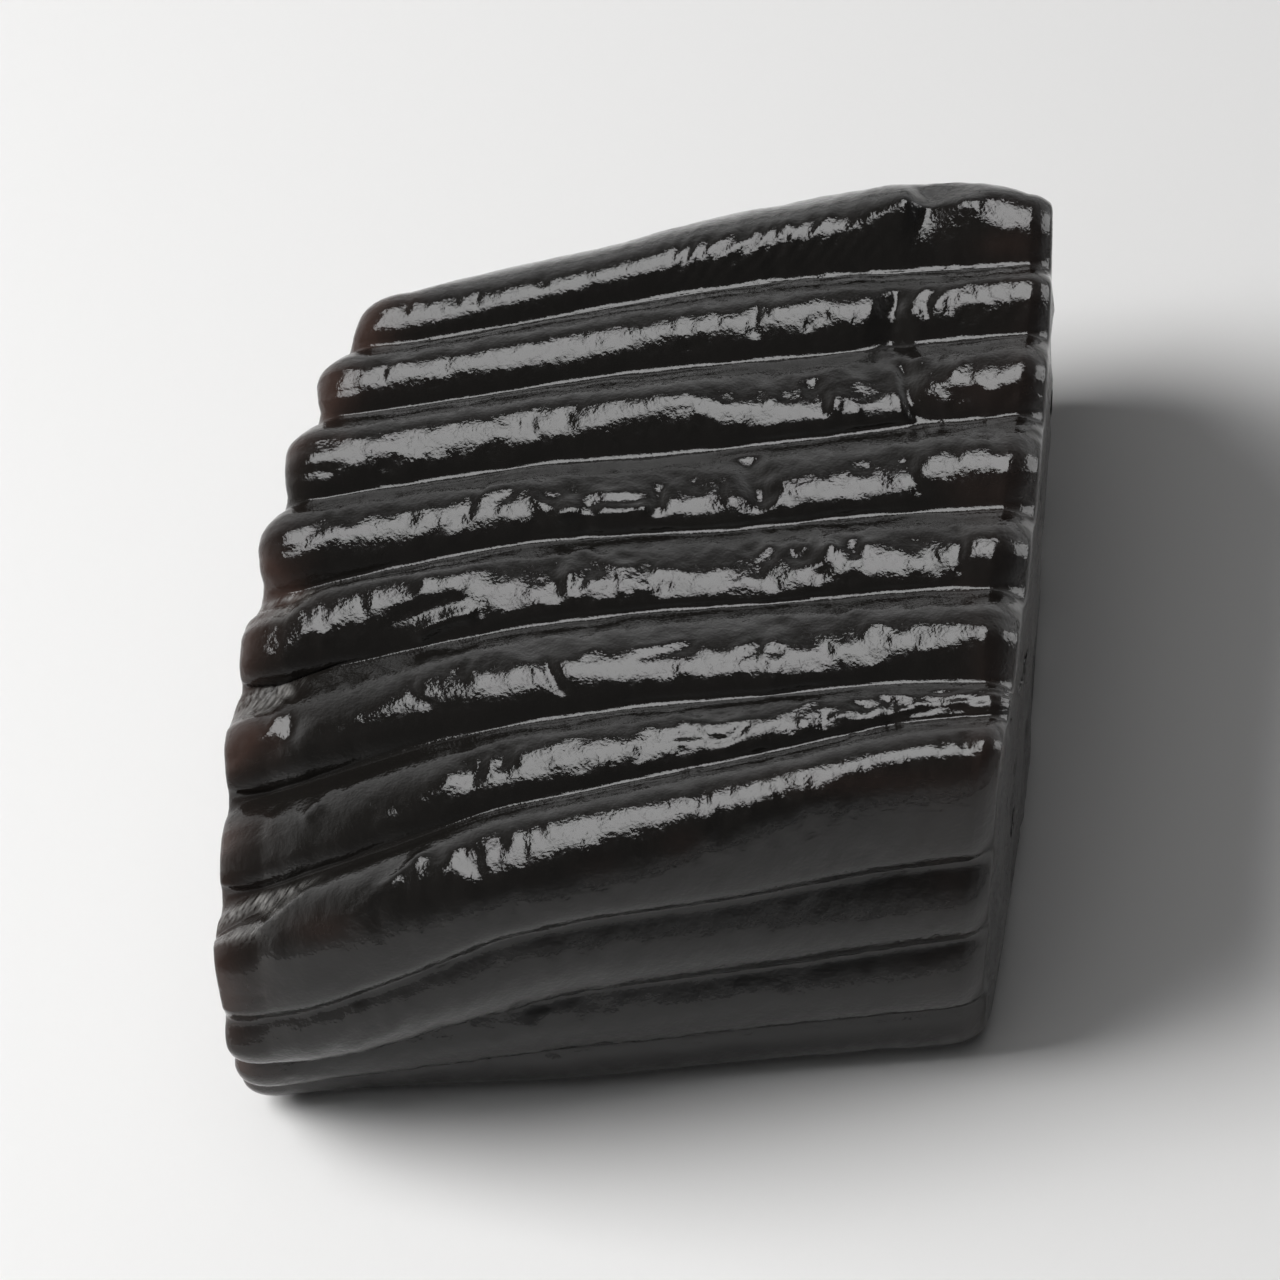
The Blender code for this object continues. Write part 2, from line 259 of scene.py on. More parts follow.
SHARES = {rib: spread(rib) for rib in range(1, RIBS + 1)}
PER_W = np.concatenate([rib - 1 + SHARES[rib] for rib in SHARES])
COUNT = len(PER_W)

LEFT_STEPS, MIDDLE_STEPS, RIGHT_STEPS = 12, 180, 14


# The left ends turn down gently into a round edge; the right ones bend, run down a straight chamfer and
# end in a tight edge. Each row: how much of the way is left to the cut, and the share of the drop reached.
places = np.sin(np.linspace(0, math.pi / 2, LEFT_STEPS + 1))[1:]
left_rows = [(1 - a, 1 - math.sqrt(max(1 - a**2.6, 0.0))) for a in places]
fine = np.linspace(0, 1, 401)
slope = np.tan(np.radians(np.interp(fine, (0, 0.08, 0.42, 0.60, 0.90, 1.0), (0, 12, 23, 33, 42, 82))))
fall = np.concatenate([[0.0], np.cumsum((slope[1:] + slope[:-1]) / 2)])
places = np.interp(np.linspace(0, 1, RIGHT_STEPS + 1), (0, 0.5, 0.8, 1), (0, 0.52, 0.90, 1.0))[1:]
right_rows = [(1 - a, float(np.interp(a, fine, fall / fall[-1]))) for a in places]
rows = [(-1.0, drop, -1, back, 0.0) for back, drop in reversed(left_rows)]
rows += [(2 * f - 1, 0.0, 0, 0.0, f) for f in np.linspace(0, 1, MIDDLE_STEPS)]
rows += [(1.0, drop, 1, back, 1.0) for back, drop in right_rows]
T, DROP, END, BACK_SHARE, ALONG = (np.array(c) for c in zip(*rows))
ROWS, FIRST, LAST = len(T), LEFT_STEPS, LEFT_STEPS + MIDDLE_STEPS - 1


def turn_in(w):
    """How far in from the right cut the skin turns down, at place w round the section (counted in ribs)."""
    return np.interp(w, *zip(*RIGHT_TURNS))


def left_edge(y, z, w):
    """X of the left cut: each rib's end stands out a little above its middle, so the ends are stepped."""
    w = np.asarray(w, float)
    size = np.interp(np.floor(w) + 1, list(BULGE) + [9, 21], list(BULGE.values()) + [0.12, 0.12])
    out = np.interp(w - np.floor(w), (0, 0.04, 0.10, 0.2, 0.3, 0.5, 0.8, 0.97, 1), (0, 0.45, 0.8, 0.95, 1, 0.8, 0.35, 0, 0))
    return cut(LEFT_CUT, y, z) - size * out


def x_of(y, z):
    """X of each row where it has the given Y and Z (rows first)."""
    left, right = left_edge(y, z, PER_W[None, :]), cut(RIGHT_CUT, y, z)
    end, back, along, turn = END[:, None], BACK_SHARE[:, None], ALONG[:, None], turn_in(PER_W)[None, :]
    middle = (left + LEFT_TURN) * (1 - along) + (right - turn) * along
    return np.where(end < 0, left + LEFT_TURN * back, np.where(end > 0, right - turn * back, middle))


def x_inner(y, z, w):
    """The same without the rounded ends: where the full section of each row lies."""
    left, right = left_edge(y, z, w), cut(RIGHT_CUT, y, z)
    return (left + LEFT_TURN) * (1 - ALONG) + (right - turn_in(w)) * ALONG


def groove_on_top(k):
    """Y and Z of top groove k at each row, from its course in the photograph and the top's height."""
    y = np.full(ROWS, 10.5 - 3.6 * (k - 1))
    for _ in range(8):
        z = top_height(T, y)
        px, py, scale = seen(x_inner(y, z, k), y, z)
        y = y + (py - follow(COURSES[k], 1, px)) / (scale * 0.80)
    y = smooth(y, 5.0)
    return y, top_height(T, y)


def cross(start, angles, shares, length_px, w):
    """The section from `start` towards the near side: `angles` (degrees, + faces the camera's side) are
    reached at `shares` of the stretch that shows as length_px pixels. Rows first; 301 points."""
    y0, z0 = start
    v = np.linspace(0, 1, 301)
    theta = np.empty((ROWS, 301))
    for r in range(ROWS):
        theta[r] = np.interp(v, [s[r] for s in shares], [a[r] for a in angles])
    theta = np.radians((theta[:, 1:] + theta[:, :-1]) / 2)
    slant = (LEFT_CUT[1] + 2 * LEFT_CUT[2] * y0) * (1 - ALONG) + (RIGHT_CUT[1] + 2 * RIGHT_CUT[2] * y0) * ALONG
    scale = seen(x_inner(y0, z0, w), y0, z0)[2]
    toward = (UP_A[1] + UP_A[0] * slant)[:, None] * np.cos(theta) + UP_A[2] * np.sin(theta)
    step = (length_px / scale)[:, None] / 300 / np.maximum(toward, 0.12)
    zero = np.zeros((ROWS, 1))
    y = y0[:, None] - np.concatenate([zero, np.cumsum(step * np.cos(theta), axis=1)], axis=1)
    z = z0[:, None] - np.concatenate([zero, np.cumsum(step * np.sin(theta), axis=1)], axis=1)
    return y, z


def floor_width(px, seed):
    """How wide the level floor of a groove is along its course, as a share: narrow at the left ends."""
    uneven = 0.85 + 0.28 * field(px, px * 0 + seed, 9.0, 1.0, 51)
    first = px[FIRST]
    return np.clip(uneven * (0.25 + 0.75 * ease((px - first - 4) / 26)), 0.12, 1.3)


def resample(y, z, shares):
    """Points at shares of each row's length."""
    out = np.empty((ROWS, len(shares), 2))
    for r in range(ROWS):
        arc = np.concatenate([[0.0], np.cumsum(np.hypot(np.diff(y[r]), np.diff(z[r])))])
        at = shares * arc[-1]
        out[r, :, 0], out[r, :, 1] = np.interp(at, arc, y[r]), np.interp(at, arc, z[r])
    return out


def top_rib(rib, a, b):
    """A rib between two top grooves: its flanks are as steep as it takes to end in the near groove."""
    px, top, scale = seen(x_inner(a[0], a[1], rib - 1), a[0], a[1])
    bottom = seen(x_inner(b[0], b[1], rib), b[0], b[1])[1]
    start, end = (smooth(follow(CROWNS[rib], c, px), 2.5) for c in (1, 2))
    one = np.ones(ROWS)
    wide_a, wide_b = floor_width(px, rib - 1), floor_width(px, rib)
    low, high = 0.15 * one, 1.25 * one
    for _ in range(22):
        m = (low + high) / 2
        far, near = -np.minimum(FAR_WALL * m, 43.0), NEAR_WALL / m
        near = np.minimum(near, 78.0)
        after = np.minimum(end + 0.07, 0.93)
        y, z = cross(a, (6.0 * one, -1.0 * one, far * 0.9, far * 0.9, 1.0 * one, 22.0 * one, 28.0 * one, near, 22.0 * one, 8.0 * one),
                     (0 * one, 0.016 * wide_a, 0.02 + 0.03 * wide_a, 0.11 * one, start, end, after, 1 - 0.03 - 0.03 * wide_b, 1 - 0.028 * wide_b, one), bottom - top, rib - 1)
        wide = y[:, -1] < b[0]
        low, high = np.where(wide, low, m), np.where(wide, m, high)
    miss_y, miss_z = b[0] - y[:, -1], b[1] - z[:, -1]
    share = np.linspace(0, 1, y.shape[1])[None]
    return resample(y + miss_y[:, None] * share, z + miss_z[:, None] * share, SHARES[rib])


def first_rib(groove):
    """Rib 1: up from its near groove over the crown to the outline, then down to the far side's groove."""
    px, py, scale = seen(x_inner(*groove, 1), *groove)
    steep, level = (smooth(follow(RIB_1, c, px), 2.5) for c in (1, 2))
    total = smooth(py - follow(COURSES[0], 1, px), 4.0)
    one = np.ones(ROWS)
    # read from the outline down to the groove, then moved so that it ends in the groove
    y, z = cross(groove, (-48.0 * one, -30 * one, 0 * one, 22 * one, 31 * one, 41 * one, 46 * one, 22 * one, 8 * one),
                 (0 * one, (total - level) / total * 0.35, (total - level) / total, (total - steep) / total, (total - steep + 2.4) / total,
                  1 - 0.42 * steep / total, 1 - 2.6 / total, 1 - 1.0 * floor_width(px, 1) / total, one), total, 1)
    y, z = y + (groove[0] - y[:, -1])[:, None], z + (groove[1] - z[:, -1])[:, None]
    ty, tz = settled([p[0] for p in FAR_SIDE[21]], T), settled([p[1] for p in FAR_SIDE[21]], T)
    span = np.hypot(ty - y[:, 0], tz - z[:, 0])
    u = np.linspace(0, 1, 121)[:-1][None]
    h = (2 * u**3 - 3 * u * u + 1, u**3 - 2 * u * u + u, 3 * u * u - 2 * u**3, u**3 - u * u)
    out_a, out_b = math.radians(96), math.radians(54)
    far_y = h[0] * ty[:, None] - h[1] * (span * 0.7 * math.cos(out_a))[:, None] + h[2] * y[:, :1] - h[3] * (span * 0.8 * math.cos(out_b))[:, None]
    far_z = h[0] * tz[:, None] + h[1] * (span * 0.7 * math.sin(out_a))[:, None] + h[2] * z[:, :1] + h[3] * (span * 0.8 * math.sin(out_b))[:, None]
    return resample(np.concatenate([far_y, y], axis=1), np.concatenate([far_z, z], axis=1), SHARES[1])


def eighth_rib(groove):
    """Rib 8: over the near top corner and down to where groove 8 shows."""
    px, py, scale = seen(x_inner(*groove, 7), *groove)
    level, past, upright = (smooth(follow(RIB_8, c, px), 4.0) for c in (1, 2, 3))
    total = smooth(follow(COURSES[8], 1, px) - py, 4.0)
    one = np.ones(ROWS)
    y, z = cross(groove, (6 * one, -1 * one, -34 * one, -24 * one, 0 * one, 22 * one, 66 * one, 84 * one, 108 * one, 70 * one),
                 (0 * one, 0.008 * one, 0.026 * one, 0.07 * one, level, past, upright, 0.90 * one, 0.975 * one, one), total, 7)
    return resample(y, z, SHARES[8]), (y[:, -1], z[:, -1])


def lower_ribs(eighth):
    """Ribs 9 to 21, round the near side, the bottom and the far side: even scallops on a smooth curve."""
    nodes = np.zeros((ROWS, RIBS, 2))
    nodes[:, 8] = np.stack([smooth(v, 5.0) for v in eighth], axis=-1)
    for k, places in {**NEAR_SIDE, **FAR_SIDE}.items():
        nodes[:, k % RIBS] = np.stack([settled([p[c] for p in places], T) for c in (0, 1)], axis=-1)
    for k in range(12, 18):
        f = (k - 11) / 7
        nodes[:, k] = nodes[:, 11] * (1 - f) + nodes[:, 18] * f
    order = list(range(8, RIBS)) + [0]
    steps = {k: nodes[:, (k + 1) % RIBS] - nodes[:, k] for k in order[:-1]}
    out = []
    for k in order[:-1]:
        rib = k + 1
        nxt = (k + 1) % RIBS

        def tangent(node):
            key = node if node else RIBS
            before = steps.get(key - 1, None)
            after = steps.get(key, None) if node else None
            if before is None:
                return unit(np.stack([0 * T - 0.05, 0 * T - 1.0], axis=-1))
            if after is None:
                return unit(np.stack([0 * T - 0.1, 0 * T + 1.0], axis=-1))
            keep = TURN.get(key, 0.5)
            return unit(unit(before) * keep + unit(after) * (1 - keep))

        a, b = nodes[:, k][:, None], nodes[:, nxt][:, None]
        width = np.linalg.norm(steps[k], axis=-1)[:, None, None]
        ta, tb = tangent(k)[:, None] * width, tangent(nxt)[:, None] * width
        u = SHARES[rib][None, :, None]
        base = a * (2 * u**3 - 3 * u * u + 1) + ta * (u**3 - 2 * u * u + u) + b * (3 * u * u - 2 * u**3) + tb * (u**3 - u * u)
        d = unit(a * (6 * u * u - 6 * u) + ta * (3 * u * u - 4 * u + 1) + b * (6 * u - 6 * u * u) + tb * (3 * u * u - 2 * u))
        out.append(base + np.stack([d[..., 1], -d[..., 0]], axis=-1) * (RIB_RISE * width * scallop(u)))
    return out


top = {k: groove_on_top(k) for k in range(1, 8)}
parts = [first_rib(top[1])]
for rib in range(2, 8):
    parts.append(top_rib(rib, top[rib - 1], top[rib]))
eighth, groove_8 = eighth_rib(top[7])
parts.append(eighth)
parts.extend(lower_ribs(groove_8))
yz = np.concatenate(parts, axis=1)


def outward(yz):
    """Outward normals of the sections, in (Y, Z)."""
    d = unit(np.roll(yz, -1, axis=1) - np.roll(yz, 1, axis=1))
    return np.stack([d[..., 1], -d[..., 0]], axis=-1)


out = outward(yz)
full_x = x_inner(yz[..., 0].T, yz[..., 1].T, PER_W[:, None]).T
PIX, PIY, _ = seen(full_x, yz[..., 0], yz[..., 1])
W = np.broadcast_to(PER_W[None, :], full_x.shape)


FACING = np.clip((out[..., 0] * BACK_A[1] + out[..., 1] * BACK_A[2]) / 0.2, 0, 1) * (W < 11.5)


def band_y(w):
    """Pixel row of the line at share w (counted in ribs) above each vertex's pixel column."""
    k = int(math.floor(w))
    low, high = follow(COURSES[k], 1, PIX), follow(COURSES[min(k + 1, 8)], 1, PIX)
    return low + (w - k) * (high - low)


def spot(x, y, wide, tall, height, lean=0.0, flat=1.0):
    """A bump (a dent below zero) at a place of the photograph: half sizes in its pixels, height in mm.
    Above 1, `flat` gives it a level middle and steeper walls."""
    dx, dy = PIX - x + lean * (PIY - y), PIY - y
    return height * np.exp(-0.7 * ((dx / wide) ** 2 + (dy / tall) ** 2) ** flat)


def along(points):
    """For each vertex: how far it is from a path of the photograph, its side, and how far along it lies."""
    p = np.array(points, float)
    lengths = np.hypot(*(p[1:] - p[:-1]).T)
    best, side, share, run = np.full(PIX.shape, 1e9), np.zeros(PIX.shape), np.zeros(PIX.shape), 0.0
    for a, b, length in zip(p[:-1], p[1:], lengths):
        d = (b - a) / length
        s = np.clip((PIX - a[0]) * d[0] + (PIY - a[1]) * d[1], 0, length)
        ex, ey = PIX - a[0] - s * d[0], PIY - a[1] - s * d[1]
        dist = np.hypot(ex, ey)
        closer = dist < best
        best = np.where(closer, dist, best)
        side = np.where(closer, np.sign(d[0] * ey - d[1] * ex), side)
        share = np.where(closer, (run + s) / lengths.sum(), share)
        run += length
    return best, side, share


def trace(points, half, height, right=1.0):
    """A ridge (a groove below zero) along a path of the photograph, fading at its ends; its side on the
    right hand, going along the path, can be wider."""
    dist, side, share = along(points)
    fade = ease(np.minimum(share, 1 - share) / 0.18)
    return height * fade * np.exp(-0.7 * (dist / np.where(side > 0, half * right, half)) ** 2)


def crease(points, wall, slope, drop, reach=3.0, straight=0.0, low=None):
    """A crease that crosses a rib: the skin drops at its line and comes up again slowly to its right.
    `straight` makes the drop one even slope, and `low` is the reach at its lower end, where that differs."""
    low = low or reach
    p = np.array(sorted(points, key=lambda q: q[1]), float)
    u = PIX - np.interp(PIY, p[:, 1], p[:, 0])
    fall = ease(u / wall) * (1 - straight) + np.clip(u / wall, 0, 1) * straight
    rise = np.clip(1 - (u - wall) / slope, 0, 1)
    rise = np.where(rise < 0.3, rise * rise / 0.6, rise - 0.15) / 0.85
    window = ease((PIY - p[0, 1] + reach) / (2 * reach)) * ease((p[-1, 1] + low - PIY) / (2 * low))
    return -drop * fall * rise * window


def plate(x, y, wide, tall, lean=0.0, most=0.25):
    """A small flat place that faces the light, partly cut and partly filled: half sizes in pixels."""
    gap = np.hypot(PIX - x, PIY - y) + 99.0 * (FACING < 0.5)
    r, c = np.unravel_index(np.argmin(gap), gap.shape)
    plane = yz[r, c, 1] - 0.045 * (full_x - full_x[r, c]) + 0.20 * (yz[..., 0] - yz[r, c, 0])
    window = np.exp(-0.7 * (((PIX - x + lean * (PIY - y)) / wide) ** 2 + ((PIY - y) / tall) ** 2) ** 1.7)
    return np.clip((plane - yz[..., 1]) * out[..., 1], -most, most) * window


def notch(x, wide, top, bend, steep, gentle, deepest, lean=0.0):
    """A place where the skin falls away steeply below pixel row `top` and runs on gently from row `bend`."""
    column = int(np.argmin(np.abs(PIX[:, COUNT // 4] - x)))
    here = np.argmin(np.abs(PIY[column] - top) + 99.0 * (W[0] > 8)), np.argmin(np.abs(PIY[column] - bend) + 99.0 * (W[0] > 8))
    y0, z0 = yz[column, here[0]]
    across = yz[..., 0] - y0
    first = (z0 + across * math.tan(math.radians(steep)))
    at = yz[column, here[1], 0] - y0
    second = z0 + at * math.tan(math.radians(steep)) + (across - at) * math.tan(math.radians(gentle))
    depth = yz[..., 1] - np.maximum(first, second)
    depth = 0.03 * np.logaddexp(0, np.clip(depth, -1, 3) / 0.03) * (across < 0.5)
    rib = math.floor(W[0, here[0]])
    window = np.exp(-(np.abs(PIX - x + lean * (PIY - bend)) / wide) ** 2.4) * (W > rib) * (W < rib + 1) * ease((rib + 0.95 - W) / 0.35)
    return -deepest * np.tanh(depth * out[..., 1] / deepest) * window


# two points of the border, the groove above, how steep, how pale (a painted highlight on the scuffed facet)
FACETS = (((108, 730), (82, 752), 4, 0.44, 0.55), ((99, 768), (74, 791), 5, 0.48, 1.1), ((103, 853), (71, 883), 7, 0.50, 0.9))


def facet(a, b, steep, groove):
    """A plane that cuts the skin away on the upper left of the line a-b, at a left end below a groove."""
    dx, dy = b[0] - a[0], b[1] - a[1]
    length = math.hypot(dx, dy)
    dist = ((PIY - a[1]) * dx - (PIX - a[0]) * dy) / length
    soft = 0.8 * np.logaddexp(0, dist / 0.8)
    return -steep * soft * 0.09 * ease((W - groove) / 0.16) * (W > groove) * (W < groove + 1)


def marks():
    """What has happened to this piece: dents, creases, slits, drips and scuffs, where it shows them."""
    d = np.zeros(PIX.shape)
    # rib 1: combed scuffs that lean to the right, a hollow behind the crease, the end
    course = band_y(0.55)
    comb = np.sin(2 * np.pi * (PIX + 0.8 * (PIY - 560) + 2.0 * field(PIX, PIY, 14.0, 9.0, 31)) / 7.0)
    d += 0.024 * comb * ease((PIX - 252) / 12) * ease((356 - PIX) / 8) * near(PIY - course, 9.0) * (W < 1)
    d += crease([(359, 549), (358, 558), (355, 571)], 12.0, 34.0, 0.50, 4.0, low=16.0) * (W < 1.02)
    for x, y, r, h in ((361, 565, 2.2, 0.07), (361.5, 558, 1.7, 0.045), (365.5, 558, 1.6, 0.045), (382, 560, 1.8, 0.05),
                       (384.5, 556.5, 1.7, 0.045), (390, 558, 2.2, 0.06), (399, 562, 2.6, -0.03), (398, 557, 2.0, 0.03),
                       (403, 566, 2.0, -0.03)):
        d += spot(x, y, r, r * 1.1, h)
    for p in ([(141, 598), (142, 608)], [(148, 598), (147, 606)], [(168, 594), (168, 604)], [(206, 588), (205, 596)],
              [(178, 597), (176, 603)]):
        d += trace(p, 1.7, -0.045)
    # rib 2
    for p, half, h in (([(297, 603), (295, 609), (296, 617)], 1.8, -0.06), ([(370, 597), (368, 602), (369, 609)], 2.0, -0.07),
                       ([(380, 596), (379, 607)], 1.6, -0.045), ([(119, 630), (118, 642)], 1.8, -0.06),
                       ([(125, 629), (124, 641)], 2.0, -0.06), ([(138, 629), (137, 636)], 1.6, -0.05),
                       ([(164, 627), (163, 632)], 1.5, -0.03), ([(224, 612), (221, 618)], 1.5, -0.03),
                       ([(316, 613), (322, 609), (328, 606)], 2.0, -0.06), ([(356, 594), (357, 606)], 1.6, -0.04),
                       ([(386, 594), (390, 600)], 1.5, -0.03)):
        d += trace(p, half, h)
    d += crease([(345.5, 594), (344.5, 602), (343.5, 611), (341.5, 620)], 11.0, 13.0, 0.30, 8.0, 1.0, 3.0)
    d += spot(336, 604, 6, 9, 0.05) + spot(362, 603, 4.5, 6, 0.05) + spot(375, 601, 3.5, 6, 0.04, 0.4)
    # rib 3
    for p, half, h in (([(200, 649), (201, 659)], 1.6, -0.05), ([(196, 650), (193, 656)], 1.4, -0.03),
                       ([(148, 659), (146, 665)], 1.6, -0.04), ([(255, 650), (266, 646.5), (275, 646), (288, 651)], 2.0, -0.035),
                       ([(326, 636), (327, 645), (325, 651)], 2.2, -0.06), ([(306, 641), (312, 643), (316, 640)], 1.4, -0.04)):
        d += trace(p, half, h)
    d += notch(321.5, 4.8, 633, 642, 28, 6, 0.15, -0.2) + spot(315.5, 636, 1.8, 4.0, 0.06)
    d += crease([(354, 628), (355.5, 638), (359.5, 652)], 5.0, 16.0, 0.25, 3.0, 0.3)
    for x, y, r, h in ((273, 649, 2.6, 0.05), (262, 655, 1.6, 0.04), (269, 654, 1.7, 0.04), (279, 653, 2.4, 0.04),
                       (234, 659, 1.6, 0.04), (300, 639, 1.6, 0.03), (340, 635, 1.8, 0.035), (398, 641, 2.2, 0.03), (209, 662, 1.4, 0.03)):
        d += spot(x, y, r, r, h)
    # rib 4
    for p, half, h in (([(203, 684), (210, 684.7), (217, 683), (223, 680)], 1.6, -0.06),
                       ([(226, 684), (235, 685.2), (243, 686), (250, 684)], 1.6, -0.06),
                       ([(214, 690.5), (226, 692), (238, 691), (254, 688)], 2.2, 0.06),
                       ([(227, 682.5), (235, 683), (243, 680.5)], 1.7, 0.045), ([(255.5, 678), (254, 693)], 2.2, -0.07),
                       ([(360, 666), (362.5, 675), (367, 685)], 2.4, -0.09), ([(399, 673), (403, 669.5), (406, 671), (405, 675), (401, 679)], 1.4, -0.045),
                       ([(187, 683), (184, 690)], 1.5, -0.035), ([(202, 690), (203, 696)], 1.8, -0.05),
                       ([(270, 678), (265, 686)], 1.5, -0.022), ([(277, 677), (273, 684)], 1.4, -0.018), ([(284, 676), (281, 683)], 1.4, -0.018),
                       ([(336, 671), (341, 672.5), (346, 671)], 1.5, -0.06), ([(93, 706), (100, 707), (106, 703)], 1.5, -0.05),
                       ([(95, 701), (102, 702), (107, 699)], 1.4, -0.05)):
        d += trace(p, half, h)
    d += notch(297.5, 6.8, 667, 682, 30, 9, 0.26, -0.35) + trace([(303, 679), (308, 683), (315, 687)], 2.2, -0.07)
    d += spot(341, 667, 3.0, 1.8, 0.04) + spot(275, 690, 12, 6, 0.03)
    for x, y, r, h in ((378, 679, 2.0, 0.04), (405, 678, 1.6, 0.035), (302, 690, 3.0, 0.04)):
        d += spot(x, y, r, r, h)
    # rib 5
    for p, half, h in (([(182, 726), (180, 731), (180, 736)], 1.8, -0.05), ([(150, 745.5), (158, 740), (167, 736), (179, 734)], 2.6, 0.12), ([(139, 738.5), (151, 733.5), (163, 729.5), (180, 727)], 2.8, -0.08),
                       ([(226, 714), (222, 720), (218, 726)], 1.6, -0.045), ([(291, 709), (288, 716), (287, 722)], 2.0, -0.05),
                       ([(314, 703), (309, 712)], 1.6, -0.05), ([(304, 706), (301.5, 712)], 1.5, -0.045), ([(328, 711), (324, 717), (322, 723)], 1.9, -0.05),
                       ([(298, 709), (296, 714)], 1.4, -0.035), ([(381, 695), (383.5, 704), (382, 711), (384.5, 719)], 1.8, -0.09),
                       ([(337, 703), (339, 711)], 2.2, -0.07), ([(128, 728), (131, 737)], 1.6, -0.04), ([(248, 712), (250, 715), (256, 714)], 1.4, -0.03)):
        d += trace(p, half, h)
    d += spot(207, 717, 6.5, 4.0, -0.10, 0.3, 1.2) + 0.40 * near(PIX - 98, 33.0) * ease((W - 4.02) / 0.28) * ease((5.22 - W) / 0.36)
    d += spot(327, 701, 2.2, 3.0, 0.04, 0.5) 
    for x, y, r, h in ((105.5, 744, 2.4, 0.06), (109, 741, 1.8, 0.04), (112.5, 745, 2.2, 0.06), (205, 730, 1.7, 0.03), (211, 731, 1.6, 0.03),
                       (249, 711, 2.2, 0.03)):
        d += spot(x, y, r, r, h)
    # rib 6
    for p, half, h in (([(151, 760), (149.5, 766), (153, 771), (161, 773)], 1.7, -0.06), ([(178, 759), (183, 751)], 1.5, -0.05),
                       ([(184, 759), (189, 751)], 1.5, -0.05), ([(172, 758), (177, 750)], 1.5, -0.05), ([(189, 758), (192, 754)], 1.4, -0.03),
                       ([(206, 751), (208.5, 758), (211, 763), (217, 769)], 2.3, -0.11), ([(221, 751), (233, 747)], 1.5, 0.045),
                       ([(242, 750), (254, 748), (269, 744)], 1.5, 0.05), ([(244, 752.5), (256, 750.5), (273, 747)], 1.5, -0.055),
                       ([(279, 752), (288, 749), (297, 744.5)], 1.5, 0.045), ([(285, 753), (294, 750.5), (299.5, 745)], 1.5, -0.06),
                       ([(298, 749.5), (304, 745), (310, 748.5)], 1.4, 0.04), ([(301, 750), (310, 750.5)], 1.4, -0.045),
                       ([(164, 756), (162, 761)], 1.4, -0.03), ([(325, 747), (328, 752)], 1.6, -0.045)):
        d += trace(p, half, h)
    d += plate(93.5, 783.5, 8.4, 7.6, 0.30) + spot(91.0, 790.0, 2.4, 3.4, -0.12) + spot(169.5, 759.0, 3.0, 2.6, -0.07, flat=1.4) + spot(206, 748.5, 12, 4.2, -0.11, 0.0, 1.6)
    d += spot(348, 737.5, 5, 2.5, 0.04)
    for x, y, r, h in ((126, 779, 1.7, 0.045), (110, 782, 1.9, 0.05), (345, 757, 1.6, 0.035), (349, 755, 1.6, 0.035), (358, 753.5, 1.6, 0.035),
                       (366, 750, 1.8, 0.035), (260, 763, 1.7, 0.03)):
        d += spot(x, y, r, r, h)
    # rib 7
    for p, half, h in (([(174, 795), (176, 808)], 2.0, -0.07), ([(181, 792), (178, 804)], 1.7, -0.06), ([(189, 789), (187.5, 802)], 2.0, -0.07),
                       ([(200, 787), (193.5, 790.5), (191.5, 796), (195, 801)], 1.5, -0.055),
                       ([(257, 786.5), (268, 785.5), (273, 785), (277, 787.5), (284, 787), (290, 783), (298, 778)], 1.6, -0.07),
                       ([(353, 768), (354, 783)], 2.4, -0.09), ([(313, 776), (311, 786)], 1.5, -0.04), ([(326, 774), (325, 784)], 1.5, -0.04)):
        d += trace(p, half, h)
    hatch = np.sin(2 * np.pi * (PIX + 0.8 * field(PIX, PIY, 9.0, 30.0, 33)) / 4.6)
    d += 0.006 * hatch * ease((PIX - 322) / 10) * ease((396 - PIX) / 8) * near(PIY - band_y(6.6), 9.0) * (W < 7.02) * (W > 6)
    d += spot(269, 799, 3.0, 3.5, 0.06) + spot(164, 804, 4.5, 6.0, 0.09)
    for x, y, r, h in ((106, 820.5, 2.4, 0.12), (110, 816.5, 2.4, 0.12), (282, 792, 2.4, 0.03), (246, 800, 1.8, 0.03), (391, 773, 2.2, 0.03)):
        d += spot(x, y, r, r, h)
    # rib 8 and the near side
    for p, half, h in (([(121, 868), (131, 857), (145, 844), (160, 832)], 1.5, 0.12), ([(78, 886), (82, 893), (87, 899)], 1.7, -0.07),
                       ([(176, 838), (180, 846)], 1.7, -0.05), ([(184, 836), (187, 844)], 1.7, -0.05), ([(171, 834), (173, 843)], 1.8, -0.06),
                       ([(296, 807), (298, 812)], 1.4, -0.03), ([(375, 786), (376, 793)], 1.7, -0.05), ([(384, 784), (386, 792)], 2.0, -0.07)):
        d += trace(p, half, h)
    for x, y, r, h in ((160, 850, 1.7, 0.04), (161, 843, 1.5, 0.03), (371, 868.5, 1.5, 0.05), (244, 870, 1.6, 0.04)):
        d += spot(x, y, r, r, h)
    d += spot(146, 843.0, 9.0, 6.0, -0.11)
    # flat facets at the left ends, with scratches along them
    scratch = np.sin(2 * np.pi * (0.62 * (PIX - 80) + 0.78 * (PIY - 740) + 0.8 * field(PIX, PIY, 12.0, 12.0, 35)) / 4.2)
    for a, b, low, steep, light in FACETS:
        cutaway = facet(a, b, steep, low)
        d += cutaway + 0.012 * scratch * np.clip(-cutaway / 0.12, 0, 1)
    for p in ([(106, 732), (94, 742), (81, 754)], [(100, 769), (87, 779), (75, 792)], [(111, 847), (97, 858), (71, 881)]):
        d += trace(p, 1.5, 0.06)
    return d * FACING


def calmness(w):
    """1 on the flanks beside each top groove, where the skin is smoother, 0 on the crowns."""
    v = w - np.floor(w)
    return np.where((w > 1) & (w < 8), np.maximum(1 - ease((v - 0.10) / 0.20), 0.7 * ease((v - 0.80) / 0.12)), 0.0)


